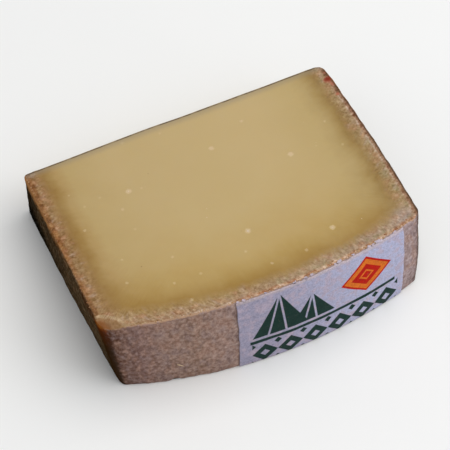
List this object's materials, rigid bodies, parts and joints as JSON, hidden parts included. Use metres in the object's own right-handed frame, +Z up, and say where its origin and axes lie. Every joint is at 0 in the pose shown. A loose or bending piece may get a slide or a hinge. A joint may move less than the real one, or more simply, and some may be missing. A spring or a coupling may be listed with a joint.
{
  "type": "wedge of hard cheese",
  "caption": "Thick wedge cut from a wheel of pressed hard cheese, with a bowed rind heel, rinds on both sides, a plain back cut and a printed paper band round the heel.",
  "frame": {"origin": "centre of the bounding box of the whole wedge, on the plane it rests on", "axes": "+X runs across the wheel's height, from the left rind to the right rind; +Y runs from the heel to the back cut; +Z is up, out of the upper cut"},
  "size_m": [0.1118, 0.0874, 0.0361],
  "materials": {
    "paste": "satin",
    "rind": "matte",
    "crystal": "matte",
    "label_paper": "matte"
  },
  "bodies": {
    "root": {"cheese": "paste", "label_band": "label_paper"}
  },
  "joints": []
}
